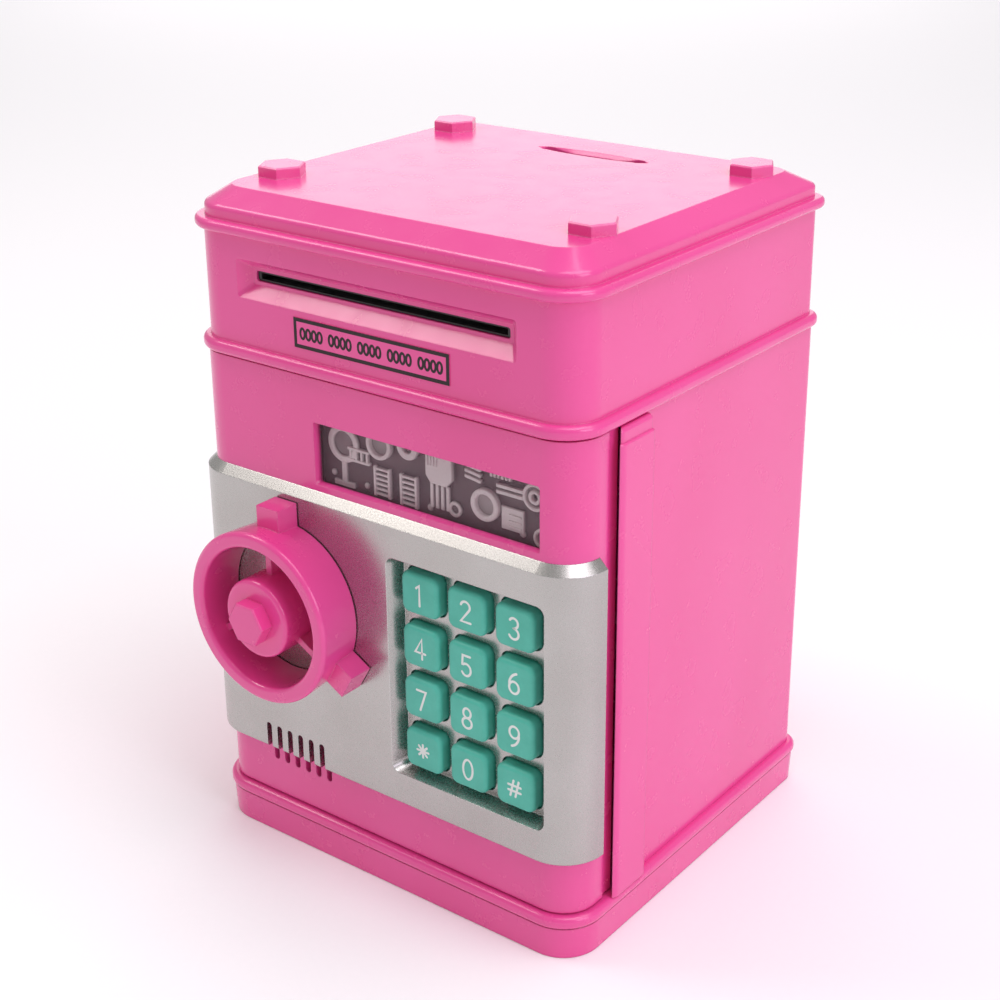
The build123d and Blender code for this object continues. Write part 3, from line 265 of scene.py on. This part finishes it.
def key_rubber():
    """Teal silicone: softly translucent, matt, with paler specks, and edges made paler by a painted
    highlight.
    """
    teal, light_teal = (0.066, 0.450, 0.345), (0.090, 0.510, 0.400)
    speck_colour, rim_highlight_colour = (0.30, 0.72, 0.62), (0.22, 0.66, 0.55)
    rim_highlight_share = 0.55
    material, tree, shader = new_material("teal_silicone")
    place = part_coordinates(tree)
    cloud = noise(tree, place, size_mm=6.0, detail=3.0, contrast=0.6)
    speck = noise(tree, place, size_mm=0.45, detail=3.0, contrast=0.6)
    body = blend_colours(tree, spread(tree, cloud, 0.3, 0.7), teal, light_teal)
    body = blend_colours(tree, spread(tree, speck, 0.58, 0.80, to_high=0.14), body, speck_colour)
    soft = rounded_edge(tree, radius_mm=0.5)
    # painted highlight: the colour along the key edges is lifted towards a paler teal
    rim_highlight = combine(tree, "MULTIPLY", edge_mask(tree, soft), rim_highlight_share)
    tree.links.new(blend_colours(tree, rim_highlight, body, rim_highlight_colour), shader.inputs["Base Color"])
    tree.links.new(spread(tree, cloud, 0.3, 0.7, to_low=0.36, to_high=0.48), shader.inputs["Roughness"])
    raise_surface(tree, shader, speck, depth_mm=0.006, normal=soft)
    shader.inputs["Subsurface Weight"].default_value = 0.18
    shader.inputs["Subsurface Radius"].default_value = (0.5, 1.0, 0.9)
    shader.inputs["Subsurface Scale"].default_value = 1.2 * MM
    return material


def clear_acrylic():
    """The window: clear, faintly smoky, with hair scratches."""
    smoke, light_smoke = (0.30, 0.20, 0.25), (0.40, 0.29, 0.34)
    material, tree, shader = new_material("clear_window")
    place = part_coordinates(tree)
    hair = noise(tree, stretched(tree, place, (0.15, 1.0, 2.0)), size_mm=0.8, detail=4.0, contrast=0.7)
    tree.links.new(spread(tree, hair, 0.60, 0.78, to_low=0.02, to_high=0.16), shader.inputs["Roughness"])
    tree.links.new(blend_colours(tree, hair, smoke, light_smoke), shader.inputs["Base Color"])
    raise_surface(tree, shader, hair, depth_mm=0.001)
    shader.inputs["Alpha"].default_value = 0.12
    shader.inputs["IOR"].default_value = ACRYLIC_IOR
    return material


def relief_light_and_shade(base_level, top_level):
    """Moulded relief: painted shade on its plum-brown ground and painted light on its paler raised tops, set
    by height.
    """
    dark_plum, plum = (0.050, 0.022, 0.030), (0.130, 0.070, 0.080)
    pale, dimmer_lit_top = (0.86, 0.79, 0.78), (0.70, 0.60, 0.61)
    material, tree, shader = new_material("relief_light_and_shade")
    place = part_coordinates(tree)
    split = tree.nodes.new("ShaderNodeSeparateXYZ")
    tree.links.new(place, split.inputs["Vector"])
    cloud = noise(tree, place, size_mm=9.0, detail=3.0, contrast=0.6)
    speck = noise(tree, place, size_mm=0.5, detail=4.0, contrast=0.65)
    # painted shade on the low ground and painted light on the raised tops, blended by height below
    shaded_ground = blend_colours(tree, spread(tree, cloud, 0.3, 0.7), dark_plum, plum)
    lit_tops = blend_colours(tree, spread(tree, speck, 0.35, 0.7), pale, dimmer_lit_top)
    level = spread(tree, split.outputs["Y"], base_level, top_level, smooth=True)
    level = combine(tree, "MULTIPLY", level, spread(tree, speck, 0.2, 0.45, to_low=0.8))
    tree.links.new(blend_colours(tree, level, shaded_ground, lit_tops), shader.inputs["Base Color"])
    tree.links.new(spread(tree, speck, 0.3, 0.7, to_low=0.34, to_high=0.52), shader.inputs["Roughness"])
    raise_surface(tree, shader, speck, depth_mm=0.008, normal=rounded_edge(tree, radius_mm=0.12))
    return material


def circuit_board():
    """Green solder mask over faint copper tracks, with specks of solder."""
    mask_green, track_green, solder = (0.010, 0.110, 0.040), (0.030, 0.200, 0.070), (0.55, 0.56, 0.52)
    material, tree, shader = new_material("solder_mask")
    place = part_coordinates(tree)
    track = cells(tree, stretched(tree, place, (0.25, 1.0, 1.0)), size_mm=1.2)
    speck = noise(tree, place, size_mm=0.4, detail=3.0, contrast=0.6)
    body = blend_colours(tree, spread(tree, track, 0.45, 0.50), mask_green, track_green)
    body = blend_colours(tree, spread(tree, speck, 0.70, 0.76), body, solder)
    tree.links.new(body, shader.inputs["Base Color"])
    tree.links.new(spread(tree, speck, 0.3, 0.8, to_low=0.25, to_high=0.4), shader.inputs["Roughness"])
    raise_surface(tree, shader, track, depth_mm=0.02, normal=rounded_edge(tree, radius_mm=0.2))
    return material


def cell_sleeve():
    """Battery cells: dark sleeves, with a copper-coloured one and a bare metal crown on the top cell."""
    sleeve_colour, band_colour = (0.020, 0.028, 0.050), (0.52, 0.30, 0.10)
    wrinkle_colour, cap_colour = (0.10, 0.10, 0.12), (0.62, 0.62, 0.62)
    band_start, band_full = 0.66, 0.67
    cap_start, cap_full = 1.9 * MM, 1.7 * MM
    material, tree, shader = new_material("cell_sleeve")
    place = part_coordinates(tree)
    split = tree.nodes.new("ShaderNodeSeparateXYZ")
    tree.links.new(place, split.inputs["Vector"])
    wrinkle = noise(tree, stretched(tree, place, (1.0, 1.0, 0.3)), size_mm=2.2, detail=3.0, contrast=0.6)
    low, high = (corner.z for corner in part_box("battery_cells"))
    length = high - low
    band = spread(tree, split.outputs["Z"], low + band_start * length, low + band_full * length)
    cap = spread(tree, split.outputs["Z"], high - cap_start, high - cap_full)
    sleeve = blend_colours(tree, band, sleeve_colour, band_colour)
    sleeve = blend_colours(tree, spread(tree, wrinkle, 0.4, 0.8, to_high=0.25), sleeve, wrinkle_colour)
    tree.links.new(blend_colours(tree, cap, sleeve, cap_colour), shader.inputs["Base Color"])
    tree.links.new(cap, shader.inputs["Metallic"])
    tree.links.new(spread(tree, wrinkle, 0.3, 0.7, to_low=0.22, to_high=0.36), shader.inputs["Roughness"])
    raise_surface(tree, shader, wrinkle, depth_mm=0.03, normal=rounded_edge(tree, radius_mm=0.3))
    return material


finishes = {
    "pink_shell": pink,
    "silver_plate": silver,
    "teal_key": key_rubber(),
    "black_plastic": black,
    "clear_window": clear_acrylic(),
    "label_print": pink,
    "white_plastic": white,
    "steel": steel,
    "roller_rubber": rubber,
    "gear_nylon": nylon,
    "board_green": circuit_board(),
    "membrane": moulded("silicone_sheet", (0.42, 0.43, 0.43), (0.36, 0.37, 0.37), roughness=0.55),
    "cell_jacket": cell_sleeve(),
    "brass_contact": brass,
}

# the window's relief has no finish here: its node is replaced by a finer mesh further down
slot_of_node = {row["node"]: row["material_slot"] for row in frame["record"]["subparts"]}
for node_name, node in nodes.items():
    finish = finishes.get(slot_of_node[node_name])
    if finish is not None:
        node.data.materials.clear()
        node.data.materials.append(finish)


# ---------------------------------------------------------------- mesh helpers
def finished_object(bm, name, material, body):
    """An object from mesh code that rides on a body."""
    bmesh.ops.recalc_face_normals(bm, faces=bm.faces)
    mesh = bpy.data.meshes.new(name)
    bm.to_mesh(mesh)
    bm.free()
    mesh.materials.append(material)
    piece = bpy.data.objects.new(name, mesh)
    bpy.context.scene.collection.objects.link(piece)
    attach(piece, body)
    return piece


def arc(x, z, radius_x, radius_z, start, end, steps=14):
    """Points on part of an ellipse, angles in degrees."""
    angles = [math.radians(start + (end - start) * k / steps) for k in range(steps + 1)]
    return [(x + radius_x * math.cos(a), z + radius_z * math.sin(a)) for a in angles]


def loop(x, z, radius_x, radius_z, steps=28):
    """Points on a whole ellipse."""
    return arc(x, z, radius_x, radius_z, 90, 450, steps)[:-1]


MITRE_LIMIT = 1.6
CAP_STEPS = 6


def ribbon(bm, path, closed, width, rise, edge, surface):
    """A raised stroke with sloped edges and round ends, along (x, z) points on a face towards -Y."""
    points = [Vector(p) for p in path]
    count = len(points)
    half = width / 2
    profile = ((half, 0.0), (half - edge, rise), (edge - half, rise), (-half, 0.0))
    rows = []
    for i, point in enumerate(points):
        before = points[i - 1] if closed or i else point
        after = points[(i + 1) % count] if closed or i < count - 1 else point
        way_in = (point - before).normalized() if point != before else (after - point).normalized()
        way_out = (after - point).normalized() if after != point else way_in
        along = (way_in + way_out).normalized()
        widen = 1.0 / max(1.0 / MITRE_LIMIT, along.dot(way_in))
        side = Vector((-along.y, along.x)) * widen
        row = []
        for reach, level in profile:
            spot = point + side * reach
            row.append(bm.verts.new((spot.x, surface - level, spot.y)))
        rows.append((row, along, point))
    pairs = zip(rows, rows[1:] + rows[:1] if closed else rows[1:])
    for (first, _, _), (second, _, _) in pairs:
        for k in range(len(profile) - 1):
            bm.faces.new((first[k], first[k + 1], second[k + 1], second[k]))
    if closed:
        return
    for (row, along, point), forward in ((rows[0], -1.0), (rows[-1], 1.0)):
        side = Vector((-along.y, along.x))
        inner, outer = [row[1]], [row[0]]
        for k in range(1, CAP_STEPS):
            angle = math.pi * k / CAP_STEPS
            reach = side * math.cos(angle) + along * (forward * math.sin(angle))
            low, high = point + reach * half, point + reach * (half - edge)
            outer.append(bm.verts.new((low.x, surface, low.y)))
            inner.append(bm.verts.new((high.x, surface - rise, high.y)))
        inner.append(row[2])
        outer.append(row[3])
        for k in range(CAP_STEPS):
            bm.faces.new((outer[k], outer[k + 1], inner[k + 1], inner[k]))
        bm.faces.new(inner)


# ---------------------------------------------------------------- numerals
def spoke(degrees, reach=0.33):
    """A straight stroke through the middle of a cell."""
    x, z = reach * math.cos(math.radians(degrees)), reach * math.sin(math.radians(degrees))
    return [(-x, -z), (x, z)]


# strokes of each numeral in a cell 1 high, as (is it a loop, points)
NUMERALS = {
    "0": [(True, loop(0, 0, 0.27, 0.50))],
    "1": [(False, [(-0.15, 0.34), (0.03, 0.50), (0.03, -0.50)])],
    "2": [(False, arc(0, 0.25, 0.25, 0.25, 165, -25) + [(-0.26, -0.49), (0.28, -0.49)])],
    "3": [(False, arc(0, 0.26, 0.23, 0.24, 150, -90) + arc(0, -0.24, 0.26, 0.26, 85, -155))],
    "4": [(False, [(0.10, -0.50), (0.10, 0.50), (-0.29, -0.20), (0.29, -0.20)])],
    "5": [(False, [(0.22, 0.49), (-0.19, 0.49), (-0.22, 0.04)] + arc(-0.01, -0.20, 0.26, 0.30, 128, -150))],
    "6": [(True, loop(0, -0.21, 0.26, 0.29)), (False, arc(0.30, -0.10, 0.56, 0.62, 107, 176))],
    "7": [(False, [(-0.26, 0.49), (0.26, 0.49), (-0.08, -0.50)])],
    "8": [(True, loop(0, 0.26, 0.21, 0.24)), (True, loop(0, -0.24, 0.26, 0.26))],
    "9": [(True, loop(0, 0.21, 0.26, 0.29)), (False, arc(-0.30, 0.10, 0.56, 0.62, -73, -4))],
    "star": [(False, spoke(degrees)) for degrees in (0, 45, 90, 135)],
    "hash": [(False, [(x - 0.10, -0.40), (x + 0.08, 0.40)]) for x in (-0.13, 0.15)]
    + [(False, [(-0.34, z), (0.34, z)]) for z in (-0.14, 0.14)],
}


def numeral(bm, name, x, z, height, width, rise, surface):
    """The strokes of one numeral, centred on (x, z); crossing strokes differ a little in height."""
    crossing_step = 0.012 * MM
    edge = width * 0.22
    for k, (closed, strokes) in enumerate(NUMERALS[name]):
        path = [(x + height * px, z + height * pz) for px, pz in strokes]
        ribbon(bm, path, closed, width, rise + crossing_step * k, edge, surface)


# ---------------------------------------------------------------- key numerals
NUMERAL_HEIGHT, NUMERAL_STROKE = 5.7 * MM, 0.74 * MM
NUMERAL_RISE, NUMERAL_SINK = 0.09 * MM, 0.02 * MM
for key_name in NUMERALS:
    lowest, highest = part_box("key_" + key_name)
    key_mesh = bmesh.new()
    numeral(key_mesh, key_name, (lowest.x + highest.x) / 2, (lowest.z + highest.z) / 2, NUMERAL_HEIGHT,
            NUMERAL_STROKE, NUMERAL_RISE, lowest.y + NUMERAL_SINK)
    finished_object(key_mesh, "numeral_" + key_name, numeral_ink, "button_" + key_name)

# ---------------------------------------------------------------- label under the note slot
label_low, label_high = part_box("counter_label")
label_middle = (label_low + label_high) / 2
PRINT_RISE = 0.04 * MM
FRAME_WIDTH, FRAME_EDGE = 1.0 * MM, 0.1 * MM
GROUP_COUNT, DIGITS_IN_GROUP = 5, 4
DIGIT_COUNT = GROUP_COUNT * DIGITS_IN_GROUP
DIGIT_HEIGHT, DIGIT_STROKE = 2.7 * MM, 0.72 * MM
DIGIT_PITCH, GROUP_GAP = 1.95 * MM, 1.9 * MM

print_mesh = bmesh.new()
half_x = (label_high.x - label_low.x) / 2 - FRAME_WIDTH / 2
half_z = (label_high.z - label_low.z) / 2 - FRAME_WIDTH / 2
corners = [(label_middle.x + sx * half_x, label_middle.z + sz * half_z)
           for sx, sz in ((-1, -1), (1, -1), (1, 1), (-1, 1))]
ribbon(print_mesh, corners, True, FRAME_WIDTH, PRINT_RISE, FRAME_EDGE, label_low.y)
for digit in range(DIGIT_COUNT):
    group = digit // DIGITS_IN_GROUP
    digit_x = (label_middle.x + (digit - (DIGIT_COUNT - 1) / 2) * DIGIT_PITCH
               + (group - (GROUP_COUNT - 1) / 2) * GROUP_GAP)
    numeral(print_mesh, "0", digit_x, label_middle.z, DIGIT_HEIGHT, DIGIT_STROKE, PRINT_RISE, label_low.y)
finished_object(print_mesh, "label_printing", label_ink, "cabinet")


# ---------------------------------------------------------------- shapes of the window relief
def turned(bm, x, z, profile, segments=40):
    """A body of revolution about a line along Y through (x, z), from (radius, y) points."""
    angles = [2 * math.pi * k / segments for k in range(segments)]
    rings = [[bm.verts.new((x + radius * math.cos(a), y, z + radius * math.sin(a))) for a in angles]
             for radius, y in profile]
    for first, second in zip(rings, rings[1:]):
        for k in range(segments):
            following = (k + 1) % segments
            bm.faces.new((first[k], first[following], second[following], second[k]))
    return rings


def ring_boss(bm, x, z, outer, inner, back, rise):
    """A raised ring with rounded shoulders round a shallow well."""
    widest_shoulder, shoulder_share, corner_share, well_share = 0.35 * MM, 0.3, 0.3, 0.25
    soft = min(widest_shoulder, (outer - inner) * shoulder_share)
    near = soft * corner_share
    top = back - rise
    well_floor = back - rise * well_share
    profile = [(outer, back), (outer, top + soft), (outer - near, top + near), (outer - soft, top),
               (inner + soft, top), (inner + near, top + near), (inner, top + soft), (inner, well_floor)]
    well = turned(bm, x, z, profile)
    bm.faces.new(well[-1])


def dome_boss(bm, x, z, radius, back, rise, segments=28):
    """A low round head on a short straight foot."""
    foot, head = rise * 0.4, rise * 0.6
    angles = [math.radians(a) for a in (0, 25, 50, 70)]
    dome = [(radius * math.cos(a), back - (foot + head * math.sin(a))) for a in angles]
    rings = turned(bm, x, z, dome, segments)
    bm.faces.new(rings[-1])
    turned(bm, x, z, [(radius, back), (radius, back - foot)], segments)


def block(bm, outline, back, rise, edge):
    """A raised block with sloped edges over a convex outline of (x, z) points."""
    corner_reach, most_inset = 1.4, 0.4
    middle = Vector((sum(p[0] for p in outline), sum(p[1] for p in outline))) / len(outline)
    levels = []
    for inset, level in ((0.0, 0.0), (0.0, rise - edge), (edge, rise)):
        ring = []
        for p in outline:
            way = middle - Vector(p)
            spot = Vector(p) + way.normalized() * min(inset * corner_reach, way.length * most_inset)
            ring.append(bm.verts.new((spot.x, back - level, spot.y)))
        levels.append(ring)
    for first, second in zip(levels, levels[1:]):
        for k in range(len(outline)):
            following = (k + 1) % len(outline)
            bm.faces.new((first[k], first[following], second[following], second[k]))
    bm.faces.new(levels[-1])


def bar(x, z, width, height, lean=0.0):
    """Corners of a rectangle centred on (x, z), leaning by lean degrees."""
    c, s = math.cos(math.radians(lean)), math.sin(math.radians(lean))
    corners_of_bar = ((-width / 2, -height / 2), (width / 2, -height / 2),
                      (width / 2, height / 2), (-width / 2, height / 2))
    return [(x + c * dx - s * dz, z + s * dx + c * dz) for dx, dz in corners_of_bar]


# ---------------------------------------------------------------- window relief
# Places on the relief are millimetres right of and above its middle, and its lengths are millimetres too.
BLOCK_EDGE = 0.2
PLATE_EDGE = 0.1
relief_low, relief_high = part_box("window_relief")
relief_middle = (relief_low + relief_high) / 2
ground = relief_low.y
relief = bmesh.new()


def at(x, z):
    """A place on the relief in metres."""
    return relief_middle.x + x * MM, relief_middle.z + z * MM


def raised(x, z, width, height, rise, edge=BLOCK_EDGE, lean=0.0, above=0.0):
    """A raised bar on the relief's ground, or on something that stands above it."""
    block(relief, bar(*at(x, z), width * MM, height * MM, lean), ground - above * MM, rise * MM, edge * MM)


def panel(outline, rise):
    """A raised flat cover over a convex outline."""
    block(relief, [at(x, z) for x, z in outline], ground, rise * MM, BLOCK_EDGE * MM)


def ladder(x, z, width, height, rungs):
    """A grille: two rails along its longer side, with rungs between them."""
    rail, rail_rise = 0.7, 1.5
    rung, short_rung, rung_gap = 0.62, 0.7, 1.2
    rung_rise, rung_edge = 1.35, 0.15
    tall = height > width
    for side in (-1, 1):
        if tall:
            raised(x + side * (width - rail) / 2, z, rail, height, rail_rise)
        else:
            raised(x, z + side * (height - rail) / 2, width, rail, rail_rise)
    for k in range(rungs):
        step = (k + 0.5) / rungs - 0.5
        if tall:
            raised(x, z + step * height, width - rung_gap, rung, rung_rise, rung_edge)
        else:
            raised(x + step * width, z, short_rung, height - rung_gap, rung_rise, rung_edge)


back_plate = bar(*at(0, 0), relief_high.x - relief_low.x, relief_high.z - relief_low.z)
block(relief, back_plate, relief_high.y, relief_high.y - ground, PLATE_EDGE * MM)

# x, z, outer radius, inner radius and rise of each ring
RINGS = ((-17.5, 5.2, 4.1, 2.9, 1.9), (16.5, -2.6, 4.3, 2.8, 1.9), (-30.0, 2.5, 5.2, 3.4, 1.2),
         (31.6, 3.2, 3.6, 2.7, 1.7), (31.6, 3.2, 1.9, 0.9, 1.7), (33.6, -7.2, 2.6, 1.7, 1.4),
         (-8.2, 6.6, 3.4, 1.5, 1.5), (6.6, -6.6, 2.1, 1.1, 1.0))
for x, z, outer, inner, rise in RINGS:
    ring_boss(relief, *at(x, z), outer * MM, inner * MM, ground, rise * MM)

RIVETS = ((-34.0, -6.4), (-22.6, -7.6), (-26.0, 8.2), (23.4, 7.6), (27.4, -7.8), (-1.6, -8.2), (10.9, 8.4))
RIVET_RADIUS, RIVET_RISE = 0.95 * MM, 0.9 * MM
for x, z in RIVETS:
    dome_boss(relief, *at(x, z), RIVET_RADIUS, ground, RIVET_RISE)

ladder(-16.8, -5.0, width=5.4, height=8.2, rungs=6)
ladder(-8.0, -5.2, width=5.6, height=8.6, rungs=6)
ladder(-24.6, 0.4, width=7.4, height=3.8, rungs=4)

# finned plug with its leads
panel([(-2.2, 9.6), (-2.2, 1.0), (-0.6, -1.0), (4.4, -1.0), (6.2, 1.0), (6.2, 9.6)], rise=1.6)
for k in range(4):
    raised(-1.2 + 0.9 * k, 6.4, width=0.35, height=5.0, rise=0.5, edge=0.08, above=1.5)
    raised(-0.6 + 1.7 * k, -4.4, width=0.9, height=6.6, rise=1.1)
for z in (8.2, 6.9):
    raised(4.1, z, width=2.6, height=0.35, rise=0.5, edge=0.08, above=1.5)

# pipes, ribbed hose and flat covers on the right
for k in range(3):
    raised(12.6, 6.4 - 1.5 * k, width=5.0, height=0.85, rise=1.4, lean=-8)
for k in range(6):
    raised(18.4 + 1.15 * k, 7.2, width=0.6, height=3.6, rise=1.5, edge=0.15)
for z in (3.6, 2.0):
    raised(24.0, z, width=8.2, height=0.9, rise=1.5)
raised(24.6, -4.6, width=6.8, height=6.0, rise=1.1)
for z in (-3.4, -5.0, -6.4):
    raised(25.6, z, width=3.8, height=0.5, rise=0.5, edge=0.1, above=1.0)
panel([(28.6, 9.4), (31.0, 6.6), (34.6, 9.4)], rise=1.3)

# stem and fork on the left
raised(-30.0, -5.4, width=1.6, height=7.0, rise=1.0)
raised(-30.0, -8.6, width=7.0, height=1.3, rise=1.2)
for x in (-12.4, -20.6):
    raised(x, 9.2, width=4.4, height=0.8, rise=1.2, lean=4)

# depths over which the relief's painted light rises from its shaded ground to its tops
light_starts, light_full = ground + 0.02 * MM, ground - 1.1 * MM
relief_piece = finished_object(relief, "relief_panel", relief_light_and_shade(light_starts, light_full), "door")
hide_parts("window_relief")


# ---------------------------------------------------------------- floor
def studio_floor():
    """A plain pale sheet with a faint paper tooth."""
    paper, light_paper = (0.93, 0.925, 0.925), (0.955, 0.95, 0.95)
    material, tree, shader = new_material("pale_floor")
    place = part_coordinates(tree)
    tooth = noise(tree, place, size_mm=2.0, detail=4.0, contrast=0.6)
    tree.links.new(blend_colours(tree, tooth, paper, light_paper), shader.inputs["Base Color"])
    tree.links.new(spread(tree, tooth, 0.3, 0.7, to_low=0.75, to_high=0.85), shader.inputs["Roughness"])
    raise_surface(tree, shader, tooth, depth_mm=0.01)
    return material


FLOOR_HALF_WIDTH = 6.0
FLOOR_GAP = 0.1 * MM
floor_mesh = bmesh.new()
bmesh.ops.create_grid(floor_mesh, x_segments=2, y_segments=2, size=FLOOR_HALF_WIDTH)
floor_data = bpy.data.meshes.new("floor")
floor_mesh.to_mesh(floor_data)
floor_mesh.free()
floor_data.materials.append(studio_floor())
floor = bpy.data.objects.new("floor", floor_data)
floor.location.z = packed_box[0].z - FLOOR_GAP
bpy.context.scene.collection.objects.link(floor)

# ---------------------------------------------------------------- light
WORLD_STRENGTH = 0.50
world = bpy.data.worlds.new("studio")
world.use_nodes = True
background = world.node_tree.nodes["Background"]
background.inputs["Color"].default_value = (1.0, 1.0, 1.0, 1.0)
background.inputs["Strength"].default_value = WORLD_STRENGTH
bpy.context.scene.world = world

bank_middle = Vector((0.0, 0.0, packed_box[1].z / 2))


def softbox(name, place, size, power, tint):
    """A square area light that faces the bank."""
    light = bpy.data.lights.new(name, "AREA")
    light.shape = "SQUARE"
    light.size = size
    light.energy = power
    light.color = tint
    lamp = bpy.data.objects.new(name, light)
    lamp.location = place
    lamp.rotation_mode = "QUATERNION"
    lamp.rotation_quaternion = (bank_middle - Vector(place)).to_track_quat("-Z", "Y")
    bpy.context.scene.collection.objects.link(lamp)


softbox("overhead", place=(0.45, 0.0, 1.40), size=1.0, power=10.0, tint=(0.98, 0.93, 1.0))
softbox("rear", place=(-1.05, 1.35, 0.80), size=1.5, power=7.0, tint=(1.0, 0.95, 1.0))
softbox("upper_left", place=(-0.86, -0.38, 1.25), size=0.5, power=4.5, tint=(1.0, 0.94, 0.92))
softbox("right_side", place=(1.45, -0.15, 0.75), size=0.8, power=7.0, tint=(0.92, 0.82, 1.0))

# ---------------------------------------------------------------- camera
# Its place and angles come from the fit of the case's edges to the photograph.
CAMERA_PLACE = Vector((0.27853, -0.36751, 0.29385))
AZIMUTH, ELEVATION, ROLL = math.radians(37.516), math.radians(21.466), math.radians(-0.462)
SENSOR_WIDTH, FOCAL_LENGTH = 36.0, 64.19
VERTICAL_SHIFT = -0.06
NEAREST_SEEN = 0.01

back = Vector((math.sin(AZIMUTH) * math.cos(ELEVATION), -math.cos(AZIMUTH) * math.cos(ELEVATION),
               math.sin(ELEVATION)))
level_right = Vector((math.cos(AZIMUTH), math.sin(AZIMUTH), 0.0))
level_up = back.cross(level_right)
right = level_right * math.cos(ROLL) + level_up * math.sin(ROLL)
up = level_up * math.cos(ROLL) - level_right * math.sin(ROLL)
turn = Matrix((right, up, back)).transposed().to_4x4()

lens = bpy.data.cameras.new("camera")
lens.sensor_width = SENSOR_WIDTH
lens.lens = FOCAL_LENGTH
lens.shift_y = VERTICAL_SHIFT
lens.clip_start = NEAREST_SEEN
camera = bpy.data.objects.new("camera", lens)
camera.matrix_world = Matrix.Translation(CAMERA_PLACE) @ turn
bpy.context.scene.collection.objects.link(camera)
bpy.context.scene.camera = camera
bpy.context.scene.view_settings.view_transform = "Standard"
